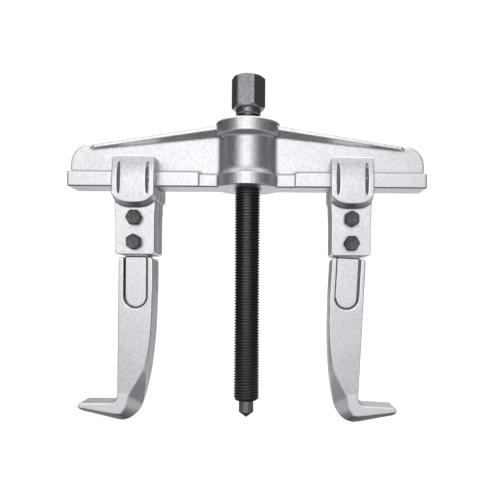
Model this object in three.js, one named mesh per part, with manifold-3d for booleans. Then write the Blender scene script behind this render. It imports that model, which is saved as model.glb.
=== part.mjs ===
// Two-arm gear puller with its claws turned outward, for pulling from inside a bore.
// Millimetres. X runs along the crossbeam, -Y is the front and +Z is up.
// Heights are measured from the crossbeam's underside until the last lines, which
// lift the whole puller so that its lower foot stands on z = 0.

import * as THREE from "three";
import { ConvexGeometry } from "three/addons/geometries/ConvexGeometry.js";
import { mergeVertices } from "three/addons/utils/BufferGeometryUtils.js";
import Module from "manifold-3d";

const wasm = await Module();
wasm.setup();

// Driving dimensions

const GAP = 0.3; // between pieces that touch

const BEAM_LENGTH = 250;
const RAIL_HEIGHT = 10.5;
const RAIL_HALF_DEPTH = 11;
const WEB_HALF_DEPTH = 6;
const BEAM_END_RADIUS = 14;
const RAIL_STEP_X = 33.2; // the rail is a little lower and thinner between here and the boss
const RAIL_STEP_DEPTH = 0.7;
const FLANGE_TIP = { x: 109, top: 29.9, halfDepth: 7, edge: 2.2 };
const FLANGE_ROOT = { x: 18, top: 43.5, halfDepth: 10.3, edge: 2.9 }; // inside the boss
const FLANGE_SLOPE = 1.05; // fall of its underside towards the web

const BOSS_RADIUS = 23;
const BOSS_TOP = 46.2;
const BOSS_WAIST_RADIUS = 19.2;
const BOSS_FILLET = 5;
const UPPER_COLLAR_HEIGHT = 9.9;
const LOWER_COLLAR_HEIGHT = 8.9;

const THREAD_RADIUS = 9; // M18 x 2
const THREAD_END = -149.5;
const THREAD_TOP = 50.4;
const HEAD_ACROSS_FLATS = 21.5; // nominal 22
const HEAD_BOTTOM = 57;
const HEAD_TOP = 79.5;
const HEAD_TURN = THREE.MathUtils.degToRad(21.7);

const SHANK_RADIUS = 4;
const TIP_RADIUS = 5.2;
const TIP_SHOULDER = -157.4;
const TIP_POINT = -161.7;
const SNAP_RING_HEIGHT = -144;
const SHANK_TOP = -139; // the thrust ball sits on it
const SOCKET_END = -133;
const THRUST_BALL_RADIUS = 2.5;

const SLIDER_WIDTH = 29;
const SLIDER_TOP = 20;
const SLIDER_BULGE = 21; // half its depth where it is fattest
const PLATE_WIDTH = 27;
const PLATE_BOTTOM = -47.4;
const PLATE_FRONT = 14;
const SEAM_HALF_GAP = 1;
const CHANNEL_HALF_WIDTH = 9.3;
const CHANNEL_TOP = -11.5;

const BOLT_HEIGHTS = [-22.1, -38.9];
const PIVOT_HEIGHT = (BOLT_HEIGHTS[0] + BOLT_HEIGHTS[1]) / 2;
const BOLT_RADIUS = 3; // M6
const BOLT_ACROSS_FLATS = 10;
const BOLT_HEAD_HEIGHT = 4;
const WASHER_THICKNESS = 1.6;
const NUT_HEIGHT = 5;

const LEG_HALF_DEPTH = 10.5;
const TONGUE_HALF_DEPTH = 7.5;
const TONGUE_HALF_WIDTH = 7.9;
const TONGUE_TOP = -13;
const SHOULDER_HEIGHT = -49;
const RECESS_END = -84.7;
const RECESS_HALF_WIDTH = 8.3;
const PANEL_HALF_DEPTH = 9;
const GRIP_HEIGHT = -150.7;

// One arm each side: where its slider stands, how far its leg leans, and how each
// bolt head happens to be turned, upper bolt first (degrees).
const ARMS = [
  { side: "left", x: -77, outward: -1, lean: 0, boltTurns: [30, 2] },
  { side: "right", x: 72.2, outward: 1, lean: 3, boltTurns: [5, 24] },
];

// Materials

function steel(color, roughness, metalness) {
  return new THREE.MeshStandardMaterial({ color, roughness, metalness });
}

const forgedSatin = () => steel(0xc9cbcc, 0.42, 0.85);
const blackOxide = () => steel(0x34353a, 0.45, 0.7);
const boltSteel = () => steel(0x55565a, 0.5, 0.75);
const brightSteel = () => steel(0xb4b6b8, 0.3, 0.9);

// Solid helpers

function solid(geometry) {
  geometry.deleteAttribute("normal");
  geometry.deleteAttribute("uv");
  const merged = mergeVertices(geometry);
  const corners = merged.index.array;
  const triangles = [];
  for (let i = 0; i < corners.length; i += 3) {
    const [a, b, c] = corners.subarray(i, i + 3);
    if (a !== b && b !== c && c !== a) {
      triangles.push(a, b, c);
    }
  }
  return new wasm.Manifold(new wasm.Mesh({
    numProp: 3,
    vertProperties: merged.attributes.position.array,
    triVerts: Uint32Array.from(triangles),
  }));
}

function geometryOf(manifold) {
  const mesh = manifold.getMesh();
  const geometry = new THREE.BufferGeometry();
  geometry.setAttribute("position", new THREE.BufferAttribute(mesh.vertProperties, 3));
  geometry.setIndex(new THREE.BufferAttribute(mesh.triVerts, 1));
  geometry.computeVertexNormals();
  return geometry;
}

function namedMesh(name, manifold, material) {
  const mesh = new THREE.Mesh(geometryOf(manifold), material);
  mesh.name = name;
  return mesh;
}

// An (x, z) outline carried along Y from y0 to y1. It can slide by (slideX, slideZ)
// on the way, which gives the slanted sides of the forgings.
function prismAlongY(shape, y0, y1, slideX = 0, slideZ = 0) {
  const geometry = new THREE.ExtrudeGeometry(shape, { depth: y1 - y0, bevelEnabled: false });
  const alongX = new THREE.Vector3(1, 0, 0);
  const alongZ = new THREE.Vector3(0, 0, 1);
  const depth = y1 - y0;
  const backward = new THREE.Vector3(-slideX / depth, -1, -slideZ / depth);
  const placed = new THREE.Matrix4().makeBasis(alongX, alongZ, backward);
  placed.setPosition(slideX, y1, slideZ);
  return solid(geometry.applyMatrix4(placed));
}

// A (y, z) outline carried along X from x0 to x1.
function prismAlongX(shape, x0, x1) {
  const geometry = new THREE.ExtrudeGeometry(shape, { depth: x1 - x0, bevelEnabled: false });
  const placed = new THREE.Matrix4().makeBasis(
    new THREE.Vector3(0, 1, 0),
    new THREE.Vector3(0, 0, 1),
    new THREE.Vector3(1, 0, 0),
  );
  placed.setPosition(x0, 0, 0);
  return solid(geometry.applyMatrix4(placed));
}

// An (x, y) outline carried up from z0 to z1.
function prismAlongZ(shape, z0, z1) {
  const geometry = new THREE.ExtrudeGeometry(shape, { depth: z1 - z0, bevelEnabled: false });
  return solid(geometry.translate(0, 0, z0));
}

// A (radius, z) profile turned about the Z axis, given from the bottom upward.
function turned(profile, segments) {
  const points = profile.map(([radius, z]) => new THREE.Vector2(radius, z));
  return solid(new THREE.LatheGeometry(points, segments).rotateX(Math.PI / 2));
}

function block(x0, x1, y0, y1, z0, z1) {
  const geometry = new THREE.BoxGeometry(x1 - x0, y1 - y0, z1 - z0);
  return solid(geometry.translate((x0 + x1) / 2, (y0 + y1) / 2, (z0 + z1) / 2));
}

function outline(points) {
  return new THREE.Shape(points.map(([a, b]) => new THREE.Vector2(a, b)));
}

// Points along a smooth curve through the given ones.
function smooth(points, steps) {
  const curve = new THREE.SplineCurve(points.map(([a, b]) => new THREE.Vector2(a, b)));
  return curve.getPoints(steps).map((p) => [p.x, p.y]);
}

function mirrored(points) {
  return points.map(([a, b]) => [-a, b]).reverse();
}

function mirroredDepth(manifold) {
  return manifold.mirror([0, 1, 0]);
}

// Crossbeam: a rail below, a thin web, a diamond-plan top flange and the spindle boss.

function beamRail() {
  const halfLength = BEAM_LENGTH / 2;
  const rightTop = [
    [halfLength, 0],
    [halfLength, RAIL_HEIGHT],
    [RAIL_STEP_X, RAIL_HEIGHT],
    [RAIL_STEP_X, LOWER_COLLAR_HEIGHT],
  ];
  const points = [...rightTop, ...mirrored(rightTop)];
  const bar = prismAlongY(outline(points), -RAIL_HALF_DEPTH, RAIL_HALF_DEPTH);
  const front = railRelief();
  return bar.subtract(front).subtract(mirroredDepth(front));
}

// What the front of the rail loses: a shallow step, and an upright groove at each end of it.
function railRelief() {
  const face = -RAIL_HALF_DEPTH;
  const grooveHalfWidth = 0.5;
  const grooveDepth = 1.6;
  const above = RAIL_HEIGHT + 1;
  let relief = block(-RAIL_STEP_X, RAIL_STEP_X, face - 1, face + RAIL_STEP_DEPTH, -1, above);
  for (const x of [-RAIL_STEP_X, RAIL_STEP_X]) {
    relief = relief.add(block(
      x - grooveHalfWidth, x + grooveHalfWidth,
      face - 1, face + grooveDepth,
      -1, above,
    ));
  }
  return relief;
}

function beamWeb() {
  const webEnd = BEAM_LENGTH / 2 - 1;
  const roundHeight = 16.6;
  const roundSweep = THREE.MathUtils.degToRad(72);
  const centre = { x: webEnd - BEAM_END_RADIUS, z: roundHeight };
  const rightEnd = [[webEnd, RAIL_HEIGHT / 2]];
  const steps = 10;
  for (let i = 0; i <= steps; i += 1) {
    const angle = (i / steps) * roundSweep;
    rightEnd.push([
      centre.x + BEAM_END_RADIUS * Math.cos(angle),
      centre.z + BEAM_END_RADIUS * Math.sin(angle),
    ]);
  }
  for (const { x, top, edge } of [FLANGE_TIP, FLANGE_ROOT]) {
    rightEnd.push([x, top - edge / 2]);
  }
  const points = [...rightEnd, ...mirrored(rightEnd)];
  return prismAlongY(outline(points), -WEB_HALF_DEPTH, WEB_HALF_DEPTH);
}

// The flange's sides slope down to the web under a narrow upright edge.
function flangeSection({ x, top, halfDepth, edge }) {
  const edgeBottom = top - edge;
  const webMeeting = edgeBottom - FLANGE_SLOPE * (halfDepth - WEB_HALF_DEPTH);
  const points = [];
  for (const side of [-1, 1]) {
    points.push(new THREE.Vector3(x, side * halfDepth, top));
    points.push(new THREE.Vector3(x, side * halfDepth, edgeBottom));
    points.push(new THREE.Vector3(x, side * WEB_HALF_DEPTH, webMeeting));
  }
  return points;
}

function beamFlange() {
  const right = [...flangeSection(FLANGE_ROOT), ...flangeSection(FLANGE_TIP)];
  const arm = solid(new ConvexGeometry(right));
  return arm.add(arm.mirror([1, 0, 0]));
}

function beamBoss() {
  const flareHeight = 5.5;
  const flare = new THREE.QuadraticBezierCurve(
    new THREE.Vector2(BOSS_RADIUS, LOWER_COLLAR_HEIGHT),
    new THREE.Vector2(BOSS_WAIST_RADIUS, LOWER_COLLAR_HEIGHT),
    new THREE.Vector2(BOSS_WAIST_RADIUS, LOWER_COLLAR_HEIGHT + flareHeight),
  );
  const upperCollarBottom = BOSS_TOP - UPPER_COLLAR_HEIGHT;
  const undercut = { across: 1.5, down: 2 }; // chamfer under the upper collar
  const rim = 0.7;
  const lowerRim = 0.3;
  return turned([
    [0, 0],
    [BOSS_RADIUS - lowerRim, 0],
    [BOSS_RADIUS, lowerRim],
    ...flare.getPoints(5).map((p) => [p.x, p.y]),
    [BOSS_WAIST_RADIUS, upperCollarBottom - undercut.down],
    [BOSS_WAIST_RADIUS + undercut.across, upperCollarBottom],
    [BOSS_RADIUS - rim, upperCollarBottom],
    [BOSS_RADIUS, upperCollarBottom + rim],
    [BOSS_RADIUS, BOSS_TOP - rim],
    [BOSS_RADIUS - rim, BOSS_TOP],
    [0, BOSS_TOP],
  ], 48);
}

// Concave fillets where the round boss runs out into the flat faces of the web.
function bossFillets() {
  const centreY = WEB_HALF_DEPTH + BOSS_FILLET;
  const centreX = Math.sqrt((BOSS_WAIST_RADIUS + BOSS_FILLET) ** 2 - centreY ** 2);
  const meeting = Math.atan2(-centreY, -centreX);
  const quarter = [];
  const steps = 5;
  for (let i = 0; i <= steps; i += 1) {
    const angle = THREE.MathUtils.lerp(-Math.PI / 2, meeting, i / steps);
    quarter.push([
      centreX + BOSS_FILLET * Math.cos(angle),
      centreY + BOSS_FILLET * Math.sin(angle),
    ]);
  }
  const back = [...quarter, ...mirrored(quarter)];
  const front = back.map(([x, y]) => [x, -y]).reverse();
  const top = BOSS_TOP - UPPER_COLLAR_HEIGHT / 2;
  return prismAlongZ(outline([...back, ...front]), RAIL_HEIGHT / 2, top);
}

function spindleBore() {
  const boreRadius = THREAD_RADIUS + GAP;
  const countersink = 2;
  const overrun = 1;
  return turned([
    [0, -overrun],
    [boreRadius + countersink + overrun, -overrun],
    [boreRadius, countersink],
    [boreRadius, BOSS_TOP - countersink],
    [boreRadius + countersink + overrun, BOSS_TOP + overrun],
    [0, BOSS_TOP + overrun],
  ], 48);
}

function crossbeam() {
  const forging = beamRail().add(beamWeb()).add(beamFlange()).add(bossFillets()).add(beamBoss());
  return forging.subtract(spindleBore());
}

// Spindle: hexagon head, thrust collar, undercut neck, thread and a socket for the tip.

function hexagonRadius(acrossFlats) {
  return acrossFlats / 2 / Math.cos(Math.PI / 6);
}

function spindle() {
  const headRadius = hexagonRadius(HEAD_ACROSS_FLATS);
  const flatRadius = HEAD_ACROSS_FLATS / 2;
  const hexagon = new THREE.CylinderGeometry(headRadius, headRadius, HEAD_TOP - HEAD_BOTTOM, 6)
    .rotateX(Math.PI / 2)
    .rotateZ(HEAD_TURN)
    .translate(0, 0, (HEAD_BOTTOM + HEAD_TOP) / 2);
  const chamfered = turned([
    [0, HEAD_BOTTOM],
    [flatRadius - 0.6, HEAD_BOTTOM],
    [headRadius, HEAD_BOTTOM + 1.6],
    [headRadius, HEAD_TOP - 1.3],
    [flatRadius - 0.4, HEAD_TOP],
    [0, HEAD_TOP],
  ], 48);
  const collarRadius = 8.8;
  const collarBottom = HEAD_BOTTOM - 3.9;
  const neckRadius = 8.2;
  const chamfer = 3;
  const stem = turned([
    [0, THREAD_END],
    [THREAD_RADIUS - 2, THREAD_END],
    [THREAD_RADIUS, THREAD_END + chamfer],
    [THREAD_RADIUS, THREAD_TOP - 0.6],
    [neckRadius, THREAD_TOP],
    [neckRadius, collarBottom],
    [collarRadius, collarBottom],
    [collarRadius, HEAD_BOTTOM + 1],
    [0, HEAD_BOTTOM + 1],
  ], 32);
  return solid(hexagon).intersect(chamfered).add(stem).subtract(tipSocket());
}

function tipSocket() {
  const socketRadius = SHANK_RADIUS + GAP;
  const grooveRadius = socketRadius + 0.6;
  const grooveHalf = 0.8;
  const drillPoint = 2.5;
  return turned([
    [0, THREAD_END - 1],
    [socketRadius, THREAD_END - 1],
    [socketRadius, SNAP_RING_HEIGHT - grooveHalf],
    [grooveRadius, SNAP_RING_HEIGHT - grooveHalf],
    [grooveRadius, SNAP_RING_HEIGHT + grooveHalf],
    [socketRadius, SNAP_RING_HEIGHT + grooveHalf],
    [socketRadius, SOCKET_END],
    [0, SOCKET_END + drillPoint],
  ], 32);
}

function liveCentre() {
  const grooveRadius = SHANK_RADIUS - 0.8;
  const grooveHalf = 0.8;
  return turned([
    [0, TIP_POINT],
    [0.5, TIP_POINT],
    [TIP_RADIUS, TIP_SHOULDER],
    [TIP_RADIUS, THREAD_END - GAP],
    [SHANK_RADIUS, THREAD_END - GAP],
    [SHANK_RADIUS, SNAP_RING_HEIGHT - grooveHalf],
    [grooveRadius, SNAP_RING_HEIGHT - grooveHalf],
    [grooveRadius, SNAP_RING_HEIGHT + grooveHalf],
    [SHANK_RADIUS, SNAP_RING_HEIGHT + grooveHalf],
    [SHANK_RADIUS, SHANK_TOP],
    [0, SHANK_TOP],
  ], 32);
}

function thrustBall() {
  const ball = new THREE.SphereGeometry(THRUST_BALL_RADIUS, 16, 10).rotateX(Math.PI / 2);
  return solid(ball.translate(0, 0, SHANK_TOP + GAP + THRUST_BALL_RADIUS));
}

// A flat ring with a cut in it, in the (x, y) plane.
function splitRing(innerRadius, outerRadius, halfCut) {
  const shape = new THREE.Shape();
  shape.absarc(0, 0, outerRadius, halfCut, 2 * Math.PI - halfCut, false);
  shape.absarc(0, 0, innerRadius, 2 * Math.PI - halfCut, halfCut, true);
  return shape;
}

function tipSnapRing() {
  const ring = splitRing(SHANK_RADIUS - 0.5, SHANK_RADIUS + 0.6, 0.3);
  return prismAlongZ(ring, SNAP_RING_HEIGHT - 0.5, SNAP_RING_HEIGHT + 0.5);
}

// Slider halves, drawn about the slider's own centre line. The back half mirrors the front.

function sliderShell() {
  const halfWidth = SLIDER_WIDTH / 2;
  const lipInner = WEB_HALF_DEPTH + 0.6;
  const pocketInner = RAIL_HALF_DEPTH + 0.4;
  const pocketTop = RAIL_HEIGHT + GAP;
  const pocketBottom = -0.7;
  const shellBottom = -15.5;
  const bulge = smooth([
    [-SLIDER_BULGE + 3.7, SLIDER_TOP],
    [-SLIDER_BULGE + 1.6, SLIDER_TOP - 6],
    [-SLIDER_BULGE + 0.1, 5],
    [-SLIDER_BULGE, -3],
    [-SLIDER_BULGE + 0.6, shellBottom],
  ], 16);
  const section = outline([
    ...bulge,
    [-SEAM_HALF_GAP, shellBottom],
    [-SEAM_HALF_GAP, pocketBottom],
    [-pocketInner, pocketBottom],
    [-pocketInner, pocketTop],
    [-lipInner, pocketTop],
    [-lipInner, SLIDER_TOP],
  ]);
  // The lower edge is a full arch, and a slanted underside leads back from it to the plate.
  const sideBottom = -6.4;
  const archDrop = 5.5;
  const archPower = 3.2;
  const undersideSlope = 0.35;
  const skirt = [];
  const steps = 20;
  for (let i = 0; i <= steps; i += 1) {
    const across = -1 + (2 * i) / steps;
    skirt.push([across * halfWidth, sideBottom - archDrop * (1 - Math.abs(across) ** archPower)]);
  }
  const corner = 1.2;
  const face = outline([
    ...skirt,
    [halfWidth, SLIDER_TOP - corner],
    [halfWidth - corner, SLIDER_TOP],
    [-halfWidth + corner, SLIDER_TOP],
    [-halfWidth, SLIDER_TOP - corner],
  ]);
  const front = -SLIDER_BULGE - 1;
  const fall = undersideSlope * (front + PLATE_FRONT);
  const frontLayer = prismAlongY(face, front, -PLATE_FRONT, 0, fall);
  const backLayer = prismAlongY(face, -PLATE_FRONT, 0).translate([0, 0, fall]);
  const tall = block(-halfWidth, halfWidth, front, 0, 0, SLIDER_TOP - corner);
  const top = prismAlongY(face, front, 0);
  const stepped = frontLayer.add(backLayer).add(tall).add(top.intersect(upperHalf()));
  return prismAlongX(section, -halfWidth, halfWidth).intersect(stepped);
}

function upperHalf() {
  return block(-SLIDER_WIDTH, SLIDER_WIDTH, -2 * SLIDER_BULGE, 0, 0, 2 * SLIDER_TOP);
}

function sliderPlate() {
  const halfWidth = PLATE_WIDTH / 2;
  const flare = 0.7;
  const corner = 1.8;
  const rightSide = [
    [halfWidth - corner, PLATE_BOTTOM],
    [halfWidth - 0.5, PLATE_BOTTOM + 0.5],
    [halfWidth, PLATE_BOTTOM + corner],
    [halfWidth, -26],
    [halfWidth + flare, -6],
  ];
  const face = outline([...rightSide, ...mirrored(rightSide)]);
  const channel = block(
    -CHANNEL_HALF_WIDTH, CHANNEL_HALF_WIDTH,
    -TONGUE_HALF_DEPTH - GAP, 1,
    PLATE_BOTTOM - 1, CHANNEL_TOP,
  );
  return { plate: prismAlongY(face, -PLATE_FRONT, -SEAM_HALF_GAP), channel };
}

// A V-shaped slot in the shell's face, wider in the middle than at its ends.
function sliderGroove() {
  const mouth = -SLIDER_BULGE - 1;
  const corners = [
    new THREE.Vector3(0, -SLIDER_BULGE + 3, -6),
    new THREE.Vector3(0, -SLIDER_BULGE + 4.6, 15),
  ];
  const right = smooth([
    [0.4, -7.6],
    [1, -3.5],
    [1.25, 4],
    [1.2, 12],
    [1, 16.6],
  ], 10);
  for (const [x, z] of [...right, ...mirrored(right)]) {
    corners.push(new THREE.Vector3(x, mouth, z));
  }
  return solid(new ConvexGeometry(corners));
}

function sliderHalf() {
  const { plate, channel } = sliderPlate();
  const grooveCentre = 9.7;
  const groove = sliderGroove();
  let half = sliderShell().add(plate).subtract(channel);
  for (const x of [-grooveCentre, grooveCentre]) {
    half = half.subtract(groove.translate([x, 0, 0]));
  }
  for (const height of BOLT_HEIGHTS) {
    half = half.subtract(roundAlongY(BOLT_RADIUS + GAP, -PLATE_FRONT - 1, 1, 24, 0, height));
  }
  return half;
}

// Leg: a forked tongue above, a recessed shank, and a foot that turns outward.
// Drawn for the arm whose outward side is -X, about the slider's centre line.

function legBody() {
  const innerX = 11.8;
  const outerX = -11.8;
  const ridge = smooth([
    [innerX, -72],
    [10.9, -100],
    [9.5, -118],
    [7.6, -134],
    [5.2, -147],
    [2.5, -155],
    [-2.8, -160.9],
    [-10.6, -164.3],
  ], 24);
  const shoulderRadius = 2.2;
  const toe = smooth([
    [-37.5, -157],
    [-39.3, -155.4],
    [-39.6, -152.9],
    [-38.2, GRIP_HEIGHT],
  ], 6);
  const fillet = new THREE.QuadraticBezierCurve(
    new THREE.Vector2(-18.2, GRIP_HEIGHT),
    new THREE.Vector2(-12.2, GRIP_HEIGHT),
    new THREE.Vector2(-12.2, GRIP_HEIGHT + 7),
  ).getPoints(8).map((p) => [p.x, p.y]);
  const silhouette = outline([
    [innerX - shoulderRadius, SHOULDER_HEIGHT],
    [innerX - 0.6, SHOULDER_HEIGHT - 0.6],
    [innerX, SHOULDER_HEIGHT - shoulderRadius],
    ...ridge,
    [-16.1, -163.3],
    ...toe,
    ...fillet,
    [outerX, SHOULDER_HEIGHT - shoulderRadius],
    [outerX + 0.6, SHOULDER_HEIGHT - 0.6],
    [outerX + shoulderRadius, SHOULDER_HEIGHT],
  ].reverse());
  return prismAlongY(silhouette, -LEG_HALF_DEPTH, LEG_HALF_DEPTH);
}

// The front face is smaller than the mid-depth silhouette on the inner side and under
// the heel. A slanted prism from that face's edge back to mid depth leaves the bevel.
function legBevel() {
  const far = 60;
  const faceEdge = smooth([
    [12.4, -75],
    [11.2, -91],
    [9.5, -109],
    [6.3, -125],
    [3.3, -132],
    [-2.5, -142],
    [-4.9, -146.5],
    [-6, -152],
    [-8.6, -156.6],
    [-12.7, -158.4],
    [-34.4, -154.8],
  ], 32);
  const face = outline([
    [-far, far],
    [12.4, far],
    ...faceEdge,
    [-far, -150.6],
  ].reverse());
  const bevelX = 9;
  const bevelZ = -7.5;
  const front = prismAlongY(face, -LEG_HALF_DEPTH, 0.01, bevelX, bevelZ);
  return front.add(mirroredDepth(front));
}

// A strip with a round lower end, running down the front of the leg.
function recessStrip(halfWidth, y0, y1) {
  const roundEnd = RECESS_END + RECESS_HALF_WIDTH;
  const shape = new THREE.Shape();
  shape.moveTo(halfWidth, SHOULDER_HEIGHT + 1);
  shape.lineTo(-halfWidth, SHOULDER_HEIGHT + 1);
  shape.absarc(0, roundEnd, halfWidth, Math.PI, 2 * Math.PI, false);
  return prismAlongY(shape, y0, y1);
}

// The recess leaves a sunk panel, and a groove runs round the panel.
function legRecess() {
  const grooveWidth = 1.1;
  const grooveFloor = -PANEL_HALF_DEPTH + 1.4;
  const whole = recessStrip(RECESS_HALF_WIDTH, -LEG_HALF_DEPTH - 1, grooveFloor);
  const panel = recessStrip(RECESS_HALF_WIDTH - grooveWidth, -PANEL_HALF_DEPTH, 0);
  const front = whole.subtract(panel);
  return front.add(mirroredDepth(front));
}

function legTongue() {
  const corner = 2;
  const right = [
    [TONGUE_HALF_WIDTH, SHOULDER_HEIGHT - 3],
    [TONGUE_HALF_WIDTH, TONGUE_TOP - corner],
    [TONGUE_HALF_WIDTH - corner, TONGUE_TOP],
  ];
  return prismAlongY(outline([...right, ...mirrored(right)]), -TONGUE_HALF_DEPTH, TONGUE_HALF_DEPTH);
}

function leg() {
  const rockClearance = 0.7;
  let piece = legBody().intersect(legBevel()).subtract(legRecess()).add(legTongue());
  for (const height of BOLT_HEIGHTS) {
    const radius = BOLT_RADIUS + rockClearance;
    piece = piece.subtract(roundAlongY(radius, -LEG_HALF_DEPTH, LEG_HALF_DEPTH, 24, 0, height));
  }
  return piece;
}

// Fasteners

function roundAlongY(radius, y0, y1, segments, x, z) {
  const geometry = new THREE.CylinderGeometry(radius, radius, y1 - y0, segments);
  return solid(geometry.translate(x, (y0 + y1) / 2, z));
}

function hexagonAlongY(acrossFlats, y0, y1, turn) {
  const radius = hexagonRadius(acrossFlats);
  const geometry = new THREE.CylinderGeometry(radius, radius, y1 - y0, 6);
  return solid(geometry.rotateY(turn).translate(0, (y0 + y1) / 2, 0));
}

const washerStart = PLATE_FRONT + GAP;
const washerEnd = washerStart + WASHER_THICKNESS;
const nutStart = washerEnd + GAP;
const nutEnd = nutStart + NUT_HEIGHT;

function clampBolt(turn) {
  const headBack = -PLATE_FRONT - GAP;
  const head = hexagonAlongY(BOLT_ACROSS_FLATS, headBack - BOLT_HEAD_HEIGHT, headBack, turn);
  const tail = 1.4;
  return head.add(roundAlongY(BOLT_RADIUS, headBack - 1, nutEnd + tail, 24, 0, 0));
}

function clampNut(turn) {
  const body = hexagonAlongY(BOLT_ACROSS_FLATS, nutStart, nutEnd, turn);
  return body.subtract(roundAlongY(BOLT_RADIUS + GAP, nutStart - 1, nutEnd + 1, 24, 0, 0));
}

function springWasher() {
  const ring = splitRing(BOLT_RADIUS + GAP, 5.2, 0.12);
  return prismAlongY(ring, washerStart, washerEnd);
}

// Assembly

function arm({ side, x, outward, lean, boltTurns }) {
  const slider = new THREE.Group();
  slider.position.x = x;
  const front = sliderHalf();
  slider.add(namedMesh(`${side}_slider_front`, front, forgedSatin()));
  slider.add(namedMesh(`${side}_slider_back`, mirroredDepth(front), forgedSatin()));
  const levels = ["upper", "lower"];
  levels.forEach((level, i) => {
    const turn = THREE.MathUtils.degToRad(boltTurns[i]);
    const pieces = [
      namedMesh(`${side}_${level}_bolt`, clampBolt(turn), boltSteel()),
      namedMesh(`${side}_${level}_washer`, springWasher(), boltSteel()),
      namedMesh(`${side}_${level}_nut`, clampNut(-turn), boltSteel()),
    ];
    for (const piece of pieces) {
      piece.position.z = BOLT_HEIGHTS[i];
      slider.add(piece);
    }
  });
  const shape = outward < 0 ? leg() : leg().mirror([1, 0, 0]);
  const hung = namedMesh(`${side}_leg`, shape.translate([0, 0, -PIVOT_HEIGHT]), forgedSatin());
  hung.position.z = PIVOT_HEIGHT;
  hung.rotation.y = outward * THREE.MathUtils.degToRad(lean);
  slider.add(hung);
  return slider;
}

const puller = new THREE.Group();
puller.add(namedMesh("crossbeam", crossbeam(), forgedSatin()));
puller.add(namedMesh("spindle", spindle(), blackOxide()));
puller.add(namedMesh("live_centre", liveCentre(), blackOxide()));
puller.add(namedMesh("thrust_ball", thrustBall(), brightSteel()));
puller.add(namedMesh("tip_snap_ring", tipSnapRing(), brightSteel()));
for (const settings of ARMS) {
  puller.add(arm(settings));
}

puller.position.z = -new THREE.Box3().setFromObject(puller, true).min.z;

export default puller;
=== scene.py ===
"""A two-arm gear puller on a pale studio floor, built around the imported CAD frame.

Metres, +Z up, the front of the puller faces -Y. Places come from the CAD nodes' boxes.
"""

import math

import bmesh
import bpy
from mathutils import Matrix, Vector


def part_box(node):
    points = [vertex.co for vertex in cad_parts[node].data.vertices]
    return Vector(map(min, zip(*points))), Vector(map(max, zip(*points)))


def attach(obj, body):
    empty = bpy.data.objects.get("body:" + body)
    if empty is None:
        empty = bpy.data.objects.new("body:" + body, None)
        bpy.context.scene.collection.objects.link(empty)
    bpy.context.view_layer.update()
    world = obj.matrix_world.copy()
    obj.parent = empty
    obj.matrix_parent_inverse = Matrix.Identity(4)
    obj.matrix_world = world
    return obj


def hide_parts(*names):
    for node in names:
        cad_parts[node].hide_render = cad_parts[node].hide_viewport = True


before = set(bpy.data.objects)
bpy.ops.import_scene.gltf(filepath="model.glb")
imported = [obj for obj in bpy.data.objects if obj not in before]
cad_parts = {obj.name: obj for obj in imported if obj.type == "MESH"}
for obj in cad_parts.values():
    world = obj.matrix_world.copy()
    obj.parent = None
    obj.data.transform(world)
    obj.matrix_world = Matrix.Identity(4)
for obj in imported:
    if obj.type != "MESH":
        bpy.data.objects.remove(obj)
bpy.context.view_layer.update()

MM = 0.001
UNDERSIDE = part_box("crossbeam")[0].z  # height of the crossbeam's underside
CLAW_BELOW_BEAM = 0.1437  # the claws' faces, finished by grinding and also painted lighter, begin this far below the underside
RUBBED_ABOVE_BEAM = 0.052  # and the screw is rubbed paler from this far above it
LEVELS = ("upper", "lower")

# Sockets of a Mix node that mixes colours: the factor and the two colours, and the result.
MIX_COLOUR_INPUTS = (0, 6, 7)
MIX_COLOUR_OUTPUT = 2


# ---------------------------------------------------------------- camera and stage

VIEW_DISTANCE = 0.4035  # from the lens to the spindle's axis, in metres
VIEW_RIGHT = 0.0200  # the lens stands this far right of that axis
VIEW_BELOW_BEAM = 0.0733  # and this far below the crossbeam's underside
LENS = 40.75  # millimetres
SHIFT = (-0.050, 0.086)
ROLL = math.radians(0.43)

FRONT_RADIANCE = 1.0
BACK_RADIANCE = 0.45
TOP_RADIANCE = 1.1
BACKDROP_GLOW = 0.88
STUDIO_TINT = (0.96, 0.97, 1.0)
# Brightness of the studio around the lights, by the sine of the elevation: to either side
# of the puller, in front of it and behind it.
SIDE_WALLS = [
    (-1.0, 0.06), (-0.65, 0.12), (-0.42, 0.90), (-0.31, 0.90),
    (-0.20, 0.06), (0.45, 0.06), (0.70, 0.75), (1.0, 0.75),
]
FRONT_WALL = [
    (-1.0, 0.06), (-0.65, 0.10), (-0.42, 0.45), (-0.30, 0.55),
    (-0.05, 0.70), (0.10, 0.60), (0.40, 0.95), (1.0, 0.5),
]
BACK_WALL = [
    (-1.0, 0.06), (-0.65, 0.12), (-0.42, 0.60), (-0.24, 1.05),
    (-0.01, 1.20), (0.06, 0.20), (0.70, 0.40), (1.0, 0.6),
]
# How squarely a direction must face front or back to begin to see that wall, and to see it alone.
FRONT_BLEND = (0.70, 0.92)
BACK_BLEND = (0.86, 0.97)


def make_camera():
    """A camera in front of the puller, looking straight back from below the crossbeam."""
    data = bpy.data.cameras.new("camera")
    data.lens = LENS
    data.sensor_width = 36.0
    data.shift_x, data.shift_y = SHIFT
    data.clip_start = 0.01
    camera = bpy.data.objects.new("camera", data)
    bpy.context.scene.collection.objects.link(camera)
    camera.location = (VIEW_RIGHT, -VIEW_DISTANCE, UNDERSIDE - VIEW_BELOW_BEAM)
    level = Matrix.Rotation(math.pi / 2, 4, "X")
    camera.rotation_euler = (level @ Matrix.Rotation(ROLL, 4, "Z")).to_euler()
    bpy.context.scene.camera = camera


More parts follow.
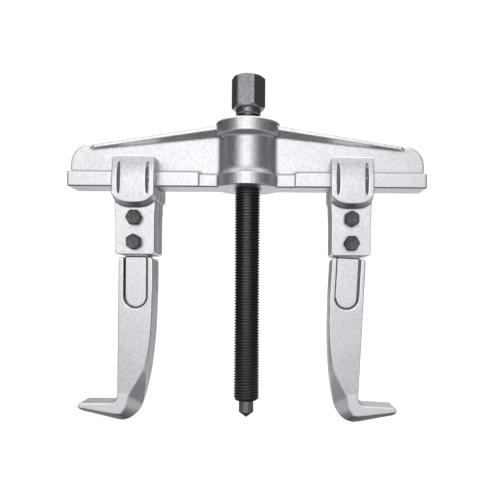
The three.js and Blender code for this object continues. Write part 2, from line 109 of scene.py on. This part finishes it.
def softbox(name, place, size, radiance, target):
    """A soft light, in metres. The lens sees its reflections but not the light itself."""
    width, height = size
    data = bpy.data.lights.new(name, "AREA")
    data.shape = "RECTANGLE"
    data.size = width
    data.size_y = height
    data.energy = radiance * math.pi * width * height
    light = bpy.data.objects.new(name, data)
    bpy.context.scene.collection.objects.link(light)
    light.location = place
    aim = Vector(target) - Vector(place)
    light.rotation_euler = aim.to_track_quat("-Z", "Y").to_euler()
    light.visible_camera = False


def make_lights():
    middle = (0, 0, 0.12)
    softbox("front_softbox", place=(-0.18, -1.3, 0.46), size=(1.30, 0.90),
            radiance=FRONT_RADIANCE, target=middle)
    softbox("back_softbox", place=(0.05, 1.6, 0.70), size=(1.40, 1.00),
            radiance=BACK_RADIANCE, target=middle)
    softbox("top_softbox", place=(0.0, 0.4, 1.9), size=(2.4, 2.0),
            radiance=TOP_RADIANCE, target=(0, 0.4, 0))
    bpy.context.scene.world = make_world()
    bpy.context.scene.view_settings.view_transform = "Standard"


def rise(tree, source, low, high):
    """0 where the source is at low or before it, 1 where it is at high or past it."""
    node = tree.nodes.new("ShaderNodeMapRange")
    node.inputs["From Min"].default_value = low
    node.inputs["From Max"].default_value = high
    tree.links.new(source, node.inputs["Value"])
    return node.outputs["Result"]


def make_world():
    """Walls that are dark to either side at the level of the lens, and paler in front and behind."""
    world = bpy.data.worlds.new("studio")
    world.use_nodes = True
    tree = world.node_tree
    direction = tree.nodes.new("ShaderNodeTexCoord")
    split = tree.nodes.new("ShaderNodeSeparateXYZ")
    tree.links.new(direction.outputs["Generated"], split.inputs[0])
    up = rise(tree, split.outputs["Z"], -1.0, 1.0)

    def wall(stops):
        ramp = tree.nodes.new("ShaderNodeValToRGB")
        tinted = [((sine + 1) / 2, tuple(level * c for c in STUDIO_TINT)) for sine, level in stops]
        set_stops(ramp, tinted)
        tree.links.new(up, ramp.inputs["Fac"])
        return ramp.outputs["Color"]

    def blend(factor, first, second):
        node = tree.nodes.new("ShaderNodeMix")
        node.data_type = "RGBA"
        for source, socket in zip((factor, first, second), MIX_COLOUR_INPUTS):
            tree.links.new(source, node.inputs[socket])
        return node.outputs[MIX_COLOUR_OUTPUT]

    towards_front = rise(tree, split.outputs["Y"], -FRONT_BLEND[0], -FRONT_BLEND[1])
    towards_back = rise(tree, split.outputs["Y"], *BACK_BLEND)
    colour = blend(towards_front, wall(SIDE_WALLS), wall(FRONT_WALL))
    colour = blend(towards_back, colour, wall(BACK_WALL))
    tree.links.new(colour, tree.nodes["Background"].inputs["Color"])
    return world


def set_stops(ramp, stops):
    """Gives a new ramp its stops, each a position and a grey or a colour, in rising order."""
    elements = ramp.color_ramp.elements
    elements[0].position = stops[0][0]
    elements[1].position = stops[-1][0]
    for position, _ in stops[1:-1]:
        elements.new(position)
    for element, (_, value) in zip(elements, stops):
        element.color = (*value, 1) if isinstance(value, tuple) else (value, value, value, 1)


def make_floor(material):
    """A round floor that sweeps up into a wall on every side. Only the lens sees it."""
    middle, flat_radius, sweep, top = 0.4, 1.2, 2.6, 4.5
    profile = [(middle, 0.0), (flat_radius, 0.0)]
    steps = 16
    for i in range(1, steps + 1):
        angle = math.pi / 2 * i / steps
        profile.append((flat_radius + sweep * math.sin(angle), sweep * (1 - math.cos(angle))))
    profile.append((flat_radius + sweep, top))
    bm = bmesh.new()
    angles = around(96, turn=0.0)
    rings = [[bm.verts.new((r * math.cos(a), r * math.sin(a), z)) for a in angles] for r, z in profile]
    bm.faces.new(rings[0])
    for lower, upper in zip(rings, rings[1:]):
        quad_strip(bm, lower, upper)
    floor = object_from(bm, "studio_floor", material, sharp_degrees=60)
    floor.visible_glossy = False
    floor.visible_diffuse = False
    floor.visible_shadow = False


# ---------------------------------------------------------------- node materials

class Nodes:
    """Small helper for writing one material's node tree."""

    def __init__(self, name):
        self.material = bpy.data.materials.new(name)
        self.material.use_nodes = True
        self.tree = self.material.node_tree
        self.shader = self.tree.nodes["Principled BSDF"]
        self.place = self.add("ShaderNodeTexCoord").outputs["Object"]

    def add(self, kind, **settings):
        node = self.tree.nodes.new(kind)
        for key, value in settings.items():
            setattr(node, key, value)
        return node

    def link(self, source, target):
        self.tree.links.new(source, target)

    def noise(self, grain_mm, detail=2.0, roughness=0.5, distortion=0.0):
        """Noise of one grain size, fixed to the piece."""
        node = self.add("ShaderNodeTexNoise")
        node.inputs["Scale"].default_value = 1000.0 / grain_mm
        node.inputs["Detail"].default_value = detail
        node.inputs["Roughness"].default_value = roughness
        node.inputs["Distortion"].default_value = distortion
        self.link(self.place, node.inputs["Vector"])
        return node.outputs["Fac"]

    def ramp(self, source, stops):
        """A colour or grey by the source, through stops as set_stops takes them."""
        node = self.add("ShaderNodeValToRGB")
        set_stops(node, stops)
        self.link(source, node.inputs["Fac"])
        return node.outputs["Color"]

    def mix(self, factor, first, second, blend="MIX"):
        """The first colour, and as much of the second as the factor says. Each is a socket or a value."""
        node = self.add("ShaderNodeMix", data_type="RGBA", blend_type=blend)
        for value, socket in zip((factor, first, second), MIX_COLOUR_INPUTS):
            if isinstance(value, bpy.types.NodeSocket):
                self.link(value, node.inputs[socket])
            else:
                node.inputs[socket].default_value = value
        return node.outputs[MIX_COLOUR_OUTPUT]

    def span(self, source, low, high):
        """The source, from 0 to 1, spread from low to high."""
        node = self.add("ShaderNodeMapRange")
        node.inputs["To Min"].default_value = low
        node.inputs["To Max"].default_value = high
        self.link(source, node.inputs["Value"])
        return node.outputs["Result"]

    def bump(self, height, depth_mm, below=None):
        """A normal that follows the height, on top of the bump below it if there is one."""
        node = self.add("ShaderNodeBump")
        node.inputs["Strength"].default_value = 1.0
        node.inputs["Distance"].default_value = depth_mm * MM
        self.link(height, node.inputs["Height"])
        if below is not None:
            self.link(below, node.inputs["Normal"])
        return node.outputs["Normal"]

    def by_sharpness(self, stops):
        """Grey by how sharp the surface is: over 0.5 on convex edges, under 0.5 in concave corners."""
        geometry = self.add("ShaderNodeNewGeometry")
        return self.ramp(geometry.outputs["Pointiness"], stops)

    def edges(self, low, high):
        """White on convex edges, black elsewhere."""
        return self.by_sharpness([(low, 0.0), (high, 1.0)])

    def hollows(self, low, high):
        """White in concave corners, black elsewhere."""
        return self.by_sharpness([(low, 1.0), (high, 0.0)])

    def edge_band(self, low, full, high):
        """White on edges about as sharp as full, black on those blunter than low or sharper than high."""
        return self.by_sharpness([(low, 0.0), (full, 1.0), ((full + high) / 2, 1.0), (high, 0.0)])

    def facing(self, axis, low, high):
        """0 where the surface turns away from an axis, 1 where it faces along it, either way."""
        split = self.add("ShaderNodeSeparateXYZ")
        self.link(self.add("ShaderNodeTexCoord").outputs["Normal"], split.inputs[0])
        size = self.add("ShaderNodeMath", operation="ABSOLUTE")
        self.link(split.outputs[axis], size.inputs[0])
        return rise(self.tree, size.outputs[0], low, high)

    def height(self, low, high):
        """0 up to the height low and 1 from high on, in metres. The other way up if low is the higher."""
        split = self.add("ShaderNodeSeparateXYZ")
        self.link(self.place, split.inputs[0])
        return rise(self.tree, split.outputs["Z"], low, high)


WORN_PLATING = (0.93, 0.93, 0.93, 1)
GROUND_STEEL_AND_PAINTED_LIGHT = (0.93, 0.93, 0.94, 1)
FLANK_PAINTED_SHADE = (0.62, 0.62, 0.63, 1)
EDGE_PAINTED_SHADE = (0.30, 0.30, 0.31, 1)
CORNER_PAINTED_SHADE = (0.05, 0.05, 0.06, 1)
WORN_ROUGHNESS = (0.28, 0.28, 0.28, 1)
RUBBED_GAIN = (2.6, 2.6, 2.6, 1)


def plated_forging(name="plated_forging", ground_and_lit_below=None):
    """Satin plating over a shot-blasted forging: fine grain, bright worn edges, painted shade in corners.

    Sideways flanks and a band on the sharper edges are darkened as painted shade. Below the height
    given, in metres, the front and back are finished by grinding and lightened as painted light.
    """
    n = Nodes(name)
    grain = n.noise(grain_mm=0.55, detail=3, roughness=0.6)
    mottle = n.noise(grain_mm=1.8, detail=3, roughness=0.55)
    cloud = n.noise(grain_mm=16, detail=3, roughness=0.5, distortion=0.4)
    colour = n.ramp(mottle, [(0.30, (0.68, 0.685, 0.715)), (0.66, (0.84, 0.84, 0.855))])
    colour = n.mix(1.0, colour, n.ramp(cloud, [(0.35, 0.95), (0.65, 1.0)]), "MULTIPLY")
    # Painted shade: faces turned sideways are darkened in the colour itself.
    painted_flank_shade = n.mix(1.0, colour, FLANK_PAINTED_SHADE, "MULTIPLY")
    colour = n.mix(n.facing("X", 0.80, 0.97), colour, painted_flank_shade)
    if ground_and_lit_below is not None:
        # Grinding finish and painted light: the claws' front and back faces are painted lighter, partly a
        # real finish by grinding, partly painted light for the foot face's tilt.
        below = n.height(ground_and_lit_below + 0.8 * MM, ground_and_lit_below)
        ground_and_lit = n.mix(1.0, below, n.facing("Y", 0.93, 0.98), "MULTIPLY")
        colour = n.mix(ground_and_lit, colour, GROUND_STEEL_AND_PAINTED_LIGHT)
    worn = n.edges(0.506, 0.522)
    colour = n.mix(worn, colour, WORN_PLATING)
    # Painted shade: a dark band on the sharper convex edges, drawn as the outline where the surface turns
    # from the light.
    colour = n.mix(n.edge_band(0.530, 0.548, 0.562), colour, EDGE_PAINTED_SHADE)
    # Painted shade: concave corners and recesses are darkened nearly to black.
    colour = n.mix(n.hollows(0.44, 0.497), colour, CORNER_PAINTED_SHADE)
    n.link(colour, n.shader.inputs["Base Color"])
    rough = n.mix(worn, n.ramp(grain, [(0.3, 0.42), (0.7, 0.31)]), WORN_ROUGHNESS)
    n.link(rough, n.shader.inputs["Roughness"])
    n.shader.inputs["Metallic"].default_value = 0.95
    hammered = n.bump(mottle, depth_mm=0.08)
    n.link(n.bump(grain, depth_mm=0.11, below=hammered), n.shader.inputs["Normal"])
    return n.material


def black_oxide(name, dark, light, roughness, shine, worn_above=None):
    """Oiled black oxide: mottled between two colours, with steel of brightness shine on sharp edges.

    Above the height worn_above, in metres, handling has rubbed it paler.
    """
    n = Nodes(name)
    mottle = n.noise(grain_mm=1.6, detail=4, roughness=0.6)
    grain = n.noise(grain_mm=0.35, detail=2, roughness=0.5)
    colour = n.ramp(mottle, [(0.35, dark), (0.65, light)])
    if worn_above is not None:
        rubbed = n.mix(1.0, colour, RUBBED_GAIN, "MULTIPLY")
        colour = n.mix(n.height(worn_above, worn_above + 1 * MM), colour, rubbed)
    worn = n.edges(0.53, 0.66)
    part_worn = n.mix(1.0, worn, n.ramp(mottle, [(0.4, 0.15), (0.6, 0.8)]), "MULTIPLY")
    colour = n.mix(part_worn, colour, (shine, shine, shine * 1.02, 1))
    n.link(colour, n.shader.inputs["Base Color"])
    n.link(n.span(mottle, roughness + 0.10, roughness - 0.08), n.shader.inputs["Roughness"])
    n.shader.inputs["Metallic"].default_value = 0.85
    n.link(n.bump(grain, depth_mm=0.012), n.shader.inputs["Normal"])
    return n.material


def bright_steel():
    """Polished bearing steel."""
    n = Nodes("bright_steel")
    mottle = n.noise(grain_mm=0.8, detail=3)
    colour = n.ramp(mottle, [(0.3, (0.55, 0.55, 0.56)), (0.7, (0.66, 0.66, 0.67))])
    n.link(colour, n.shader.inputs["Base Color"])
    n.link(n.span(mottle, 0.30, 0.18), n.shader.inputs["Roughness"])
    n.shader.inputs["Metallic"].default_value = 1.0
    n.link(n.bump(mottle, depth_mm=0.004), n.shader.inputs["Normal"])
    return n.material


def floor_paint():
    """A pale backdrop, lit from within so that it is even on every side."""
    n = Nodes("floor_paint")
    cloud = n.noise(grain_mm=400, detail=2)
    n.link(n.ramp(cloud, [(0.3, 0.30), (0.7, 0.33)]), n.shader.inputs["Base Color"])
    n.shader.inputs["Roughness"].default_value = 0.9
    n.shader.inputs["Specular IOR Level"].default_value = 0.1
    n.shader.inputs["Emission Color"].default_value = (1, 1, 1, 1)
    n.shader.inputs["Emission Strength"].default_value = BACKDROP_GLOW
    return n.material


# ---------------------------------------------------------------- mesh helpers

SAME_PLACE = 1e-7  # corners nearer than this, in metres, are one
TURNED_SHARP_DEGREES = 30
FORGED_SHARP_DEGREES = 180  # none of a forging's edges is sharp
TURNED_DOWN = 0.3  # a bolt head's end is turned to this much less than its half width, in mm


def object_from(bm, name, material, sharp_degrees=35.0):
    """An object of a finished bmesh, which is used up."""
    bmesh.ops.recalc_face_normals(bm, faces=bm.faces)
    mesh = bpy.data.meshes.new(name)
    bm.to_mesh(mesh)
    bm.free()
    return object_with(mesh, name, material, sharp_degrees)


def object_with(mesh, name, material, sharp_degrees):
    """An object shaded smooth except over edges sharper than sharp_degrees."""
    mesh.materials.clear()
    mesh.materials.append(material)
    mesh.polygons.foreach_set("use_smooth", [True] * len(mesh.polygons))
    mesh.set_sharp_from_angle(angle=math.radians(sharp_degrees))
    piece = bpy.data.objects.new(name, mesh)
    bpy.context.scene.collection.objects.link(piece)
    return piece


def forged(node, name, material, voxel_mm, rounding, lean=0.0):
    """The CAD piece with every edge rounded as a drop forging's are, and its inner corners filled.

    A piece that leans about Y is stood upright while its edges are worked.
    """
    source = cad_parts[node]
    rough = bpy.data.objects.new(name + "_rough", source.data.copy())
    rough.data.transform(Matrix.Rotation(-lean, 4, "Y"))
    bpy.context.scene.collection.objects.link(rough)
    remesh = rough.modifiers.new("remesh", "REMESH")
    remesh.mode = "VOXEL"
    remesh.voxel_size = voxel_mm * MM
    remesh.adaptivity = 0.0
    soften = rough.modifiers.new("soften", "SMOOTH")
    soften.factor = 0.5
    soften.iterations = rounding
    evaluated = rough.evaluated_get(bpy.context.evaluated_depsgraph_get())
    mesh = bpy.data.meshes.new_from_object(evaluated)
    mesh.transform(Matrix.Rotation(lean, 4, "Y"))
    mesh.name = name
    bpy.data.objects.remove(rough)
    return object_with(mesh, name, material, FORGED_SHARP_DEGREES)


def quad_strip(bm, lower, upper):
    """Faces between two rings of the same number of corners."""
    for a, b, c, d in zip(lower, lower[1:] + lower[:1], upper[1:] + upper[:1], upper):
        bm.faces.new((a, b, c, d))


def around(columns, turn):
    """Angles of evenly spaced columns, the first at the angle turn."""
    return [turn + 2 * math.pi * i / columns for i in range(columns)]


class Turning:
    """A turned, threaded and hexagonal solid about Z, in millimetres, built ring by ring from one end."""

    def __init__(self, columns, turn=0.0):
        self.bm = bmesh.new()
        self.columns = columns
        self.angles = around(columns, turn)
        self.last = None

    def corner(self, radius, z, i):
        angle = self.angles[i]
        return self.bm.verts.new((radius * math.cos(angle) * MM, radius * math.sin(angle) * MM, z * MM))

    def ring(self, radius, z):
        """radius is a number, or a function of the column."""
        size = radius if callable(radius) else (lambda i: radius)
        self.append([self.corner(size(i), z, i) for i in range(self.columns)])

    def append(self, ring):
        if self.last:
            quad_strip(self.bm, self.last, ring)
        self.last = ring

    def cap(self):
        """Closes the last ring with one flat face."""
        self.bm.faces.new(self.last)

    def start_cap(self, radius, z):
        self.ring(radius, z)
        self.cap()

    def thread(self, radius, depth, pitch, z0, z1, chamfer0, chamfer1):
        """A real helical thread from z0 up to z1, cut down by a 45 degree chamfer at either end.

        Its form is given over one pitch: how far along, and how far from the root to the crest.
        """
        form = [(0.0, 0.0), (0.10, 0.0), (0.36, 1.0), (0.64, 1.0), (0.90, 0.0)]
        root = radius - depth
        least = root - max(chamfer0, chamfer1)
        turns = math.ceil((z1 - z0) / pitch) + 1
        columns = []
        for i in range(self.columns):
            column = []
            for turn in range(-1, turns):
                for along, out in form:
                    z = min(max(z0 + pitch * (turn + along + i / self.columns), z0), z1)
                    wide = min(root + out * depth, root - chamfer0 + z - z0, root - chamfer1 + z1 - z)
                    column.append((max(wide, least), z))
            columns.append(column)
        self.helix(columns, len(form))

    def helix(self, columns, steps):
        """Joins columns of corners; round the seam, one turn on is steps rows higher."""
        rows = len(columns[0])
        made = [[self.corner(r, z, i) for r, z in column] for i, column in enumerate(columns)]
        count = self.columns
        for i in range(count):
            shift = steps if i == count - 1 else 0
            after = made[(i + 1) % count]
            for j in range(rows - 1):
                k = j + shift
                if k + 1 < rows:
                    self.bm.faces.new((made[i][j], after[k], after[k + 1], made[i][j + 1]))
        quad_strip(self.bm, self.last, [column[0] for column in made])
        self.last = [column[-1] for column in made]

    def finish(self, name, material, axis="Z"):
        """The object, lying along Y instead of Z if the axis says so."""
        bmesh.ops.remove_doubles(self.bm, verts=self.bm.verts, dist=SAME_PLACE)
        bmesh.ops.dissolve_degenerate(self.bm, edges=self.bm.edges, dist=SAME_PLACE)
        if axis == "Y":
            quarter_turn = Matrix.Rotation(-math.pi / 2, 3, "X")
            bmesh.ops.rotate(self.bm, verts=self.bm.verts, matrix=quarter_turn)
        return object_from(self.bm, name, material, TURNED_SHARP_DEGREES)


def hexagon(across_flats, columns, corner_mm=0.25):
    """Radius at each column of a hexagon with slightly cut corners. A corner lies on column 0."""
    half = across_flats / 2
    limit = half / math.cos(math.pi / 6) - corner_mm

    def radius(i):
        from_corner = (2 * math.pi * i / columns) % (math.pi / 3)
        return min(half / math.cos(from_corner - math.pi / 6), limit)

    return radius


def hexagon_rings(turning, across_flats, z0, z1, chamfer0, chamfer1):
    """Rings of a hexagon whose ends are turned down to a cone, as on any bolt head."""
    flat = hexagon(across_flats, turning.columns)
    corner = across_flats / 2 / math.cos(math.pi / 6)
    end = across_flats / 2 - TURNED_DOWN
    steps = 8

    def cut(z):
        limit = corner
        if chamfer0:
            limit = min(limit, end + (z - z0) * (corner - end) / chamfer0)
        if chamfer1:
            limit = min(limit, end + (z1 - z) * (corner - end) / chamfer1)
        return lambda i: min(flat(i), limit)

    levels = [z0 + chamfer0 * k / steps for k in range(steps + 1)] if chamfer0 else [z0]
    levels += [z1 - chamfer1 * (steps - k) / steps for k in range(steps + 1)] if chamfer1 else [z1]
    for z in levels:
        turning.ring(cut(z), z)


def place(piece, x, y, z):
    """Moves a piece's mesh; the object itself stays at the origin, as the frame wants."""
    piece.data.transform(Matrix.Translation((x, y, z)))


def settle(piece, body, slot, *nodes):
    """Makes a piece ride on a body and stand for its CAD nodes, which it hides; the slot is not used."""
    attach(piece, body)
    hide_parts(*nodes)


# ---------------------------------------------------------------- pieces
# Sizes are in millimetres.

# Each forging's voxel size, and how many times its edges are rounded off.
BEAM_FORGING = (0.65, 3)
SLIDER_FORGING = (0.4, 4)
LEG_FORGING = (0.45, 4)

SCREW_RADIUS = 9.0
SCREW_THREAD_DEPTH = 1.1
SCREW_PITCH = 2.0
SCREW_TURN = math.radians(21.7 - 90)  # how the head happens to stand
NECK_RADIUS = 8.2
COLLAR_RADIUS = 8.8
HEAD_FLATS = 21.5
HEAD_SEAT_RADIUS = 9.6  # the flat under the head
HEAD_DISH_RADIUS = 9.0  # the shallow dish in its top
SOCKET_RADIUS = 4.3
STUB_RADIUS = 5.2  # the live centre below the screw
SHANK_RADIUS = 4.0  # and inside it

BOLT_RADIUS = 3.0
BOLT_THREAD_DEPTH = 0.6
BOLT_PITCH = 1.0
BOLT_FLATS = 10.0
BOLT_HEAD_HEIGHT = 4.0
BOLT_SHANK_END = 24.0
NUT_BORE = 3.3


def make_crossbeam(material):
    beam = forged("crossbeam", "crossbeam_forging", material, *BEAM_FORGING)
    settle(beam, "beam", "plated_forging", "crossbeam")


def make_spindle(material):
    """M18 x 2 screw: a socket in its lower end, thread, undercut neck, collar and hexagon."""
    low, high = [corner.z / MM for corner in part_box("spindle")]
    beam = UNDERSIDE / MM
    thread_top = beam + 50.4
    collar_bottom = beam + 53.1
    head_bottom = beam + 57
    bevel = 0.3
    screw = Turning(72, turn=SCREW_TURN)
    screw.start_cap(0.3, low + 19)  # the drilled socket's conical end
    screw.ring(SOCKET_RADIUS, low + 16.5)
    groove = SOCKET_RADIUS + 0.6
    for radius, above in ((SOCKET_RADIUS, 6.3), (groove, 6.3), (groove, 4.7), (SOCKET_RADIUS, 4.7)):
        screw.ring(radius, low + above)
    screw.ring(SOCKET_RADIUS, low + 0.4)
    screw.ring(SOCKET_RADIUS + 0.4, low)
    screw.thread(SCREW_RADIUS, SCREW_THREAD_DEPTH, SCREW_PITCH, low, thread_top,
                 chamfer0=0.3, chamfer1=0.6)
    screw.ring(NECK_RADIUS - bevel, thread_top + 0.1)
    screw.ring(NECK_RADIUS, thread_top + 0.4)
    screw.ring(NECK_RADIUS, collar_bottom - bevel)
    screw.ring(NECK_RADIUS + bevel, collar_bottom)
    screw.ring(COLLAR_RADIUS - bevel, collar_bottom)
    screw.ring(COLLAR_RADIUS, collar_bottom + bevel)
    screw.ring(COLLAR_RADIUS, head_bottom - 0.2)
    screw.ring(HEAD_SEAT_RADIUS, head_bottom)
    hexagon_rings(screw, HEAD_FLATS, head_bottom, high, chamfer0=1.7, chamfer1=1.3)
    screw.ring(HEAD_DISH_RADIUS + 0.4, high)
    screw.ring(HEAD_DISH_RADIUS, high - 0.15)
    screw.cap()
    piece = screw.finish("spindle_screw", material)
    settle(piece, "screw", "black_oxide", "spindle")


def make_live_centre(material):
    """The pointed stub below the screw, and its shank with a groove for the snap ring."""
    low, top = [corner.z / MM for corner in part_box("live_centre")]
    shoulder = low + 3.7
    stub_top = low + 11.9
    tip = Turning(48)
    tip.start_cap(0.25, low)  # the point, a little rounded
    tip.ring(0.6, low + 0.25)
    tip.ring(STUB_RADIUS - 0.25, shoulder - 0.2)
    tip.ring(STUB_RADIUS, shoulder + 0.2)
    tip.ring(STUB_RADIUS, stub_top - 0.3)
    tip.ring(STUB_RADIUS - 0.3, stub_top)
    tip.ring(SHANK_RADIUS, stub_top)
    groove = SHANK_RADIUS - 0.8
    for radius, above in ((SHANK_RADIUS, 16.9), (groove, 16.9), (groove, 18.5), (SHANK_RADIUS, 18.5)):
        tip.ring(radius, low + above)
    tip.ring(SHANK_RADIUS, top)
    tip.cap()
    piece = tip.finish("live_centre_point", material)
    settle(piece, "point", "black_oxide", "live_centre")


def make_bolt(node, turn, material, body):
    """M6 bolt lying along Y with its head at the front."""
    low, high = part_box(node)
    length = (high.y - low.y) / MM
    bolt = Turning(48, turn)
    bolt.start_cap(4.3, 0.12)  # the shallow dish in the head
    hexagon_rings(bolt, BOLT_FLATS, 0.0, BOLT_HEAD_HEIGHT, chamfer0=0.8, chamfer1=0)
    bolt.ring(4.4, BOLT_HEAD_HEIGHT)
    bolt.ring(BOLT_RADIUS, BOLT_HEAD_HEIGHT + 0.05)
    bolt.ring(BOLT_RADIUS, BOLT_SHANK_END)
    bolt.ring(BOLT_RADIUS - 0.4, BOLT_SHANK_END + 0.3)
    thread_start = BOLT_SHANK_END + 0.5
    bolt.thread(BOLT_RADIUS, BOLT_THREAD_DEPTH, BOLT_PITCH, thread_start, length,
                chamfer0=0.0, chamfer1=0.5)
    bolt.cap()
    piece = bolt.finish(node + "_screw", material, axis="Y")
    centre = (low + high) / 2
    place(piece, centre.x, low.y, centre.z)
    settle(piece, body, "bolt_steel", node)


def make_nut(node, turn, material, body):
    """M6 nut lying along Y, its bore chamfered at both ends."""
    low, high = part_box(node)
    height = (high.y - low.y) / MM
    nut = Turning(48, turn)
    nut.ring(NUT_BORE, 0.0)
    first = nut.last
    nut.ring(NUT_BORE + 0.4, 0.0)
    hexagon_rings(nut, BOLT_FLATS, 0.0, height, chamfer0=0.8, chamfer1=0.8)
    nut.ring(NUT_BORE + 0.4, height)
    nut.ring(NUT_BORE, height - 0.4)
    nut.ring(NUT_BORE, 0.4)
    quad_strip(nut.bm, nut.last, first)
    piece = nut.finish(node + "_hexagon", material, axis="Y")
    centre = (low + high) / 2
    place(piece, centre.x, low.y, centre.z)
    settle(piece, body, "bolt_steel", node)


def make_washer(node, material, body):
    """A split spring washer, its two ends a little out of line."""
    low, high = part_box(node)
    thick = high.y - low.y
    centre = (low + high) / 2
    inner, outer, edge = NUT_BORE * MM, 5.2 * MM, 0.12 * MM
    half_gap = math.radians(4)
    climb = 0.12 * MM
    section = [
        (inner, edge), (inner + edge, 0), (outer - edge, 0), (outer, edge),
        (outer, thick - edge), (outer - edge, thick), (inner + edge, thick), (inner, thick - edge),
    ]
    bm = bmesh.new()
    steps = 60
    rings = []
    for k in range(steps + 1):
        angle = half_gap + (2 * math.pi - 2 * half_gap) * k / steps
        across, up = math.cos(angle), math.sin(angle)
        shift = climb * (k / steps - 0.5)
        rings.append([bm.verts.new((r * across, y + shift, r * up)) for r, y in section])
    for one, two in zip(rings, rings[1:]):
        quad_strip(bm, one, two)
    bm.faces.new(rings[0])
    bm.faces.new(rings[-1])
    piece = object_from(bm, node + "_ring", material)
    place(piece, centre.x, low.y, centre.z)
    settle(piece, body, "bolt_steel", node)


def make_arm(side, lean, forging, leg_finish, steel, bolt_turns):
    """A slider in two halves, its leg and the two bolts, turned as given from the upper one down."""
    slider = side + "_slider"
    for half in ("front", "back"):
        node = f"{side}_slider_{half}"
        piece = forged(node, node + "_forging", forging, *SLIDER_FORGING)
        settle(piece, slider, "plated_forging", node)
    leg = forged(side + "_leg", side + "_leg_forging", leg_finish, *LEG_FORGING, lean)
    settle(leg, side + "_arm", "plated_forging", side + "_leg")
    for level, degrees in zip(LEVELS, bolt_turns):
        turn = math.radians(degrees)
        make_bolt(f"{side}_{level}_bolt", turn, steel, slider)
        make_nut(f"{side}_{level}_nut", -turn, steel, slider)
        make_washer(f"{side}_{level}_washer", steel, slider)


def finish_inner_pieces(material):
    """The ball and the snap ring are hidden inside the screw, so their CAD shapes stay."""
    for node in ("thrust_ball", "tip_snap_ring"):
        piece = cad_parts[node]
        piece.data.materials.clear()
        piece.data.materials.append(material)


make_camera()
make_lights()
make_floor(floor_paint())

forging_finish = plated_forging()
leg_finish = plated_forging("plated_forging_leg", ground_and_lit_below=UNDERSIDE - CLAW_BELOW_BEAM)
spindle_finish = black_oxide(
    "black_oxide", dark=(0.078, 0.078, 0.084), light=(0.120, 0.120, 0.126), roughness=0.31, shine=0.24,
    worn_above=UNDERSIDE + RUBBED_ABOVE_BEAM)
tip_finish = black_oxide(
    "black_oxide_tip", dark=(0.20, 0.20, 0.205), light=(0.31, 0.31, 0.315), roughness=0.20, shine=0.50)
bolt_finish = black_oxide(
    "bolt_steel", dark=(0.075, 0.075, 0.080), light=(0.130, 0.130, 0.135), roughness=0.40, shine=0.34)

make_crossbeam(forging_finish)
make_spindle(spindle_finish)
make_live_centre(tip_finish)
make_arm("left", 0.0, forging_finish, leg_finish, bolt_finish, bolt_turns=(0, 30))
make_arm("right", math.radians(3), forging_finish, leg_finish, bolt_finish, bolt_turns=(30, 0))
finish_inner_pieces(bright_steel())
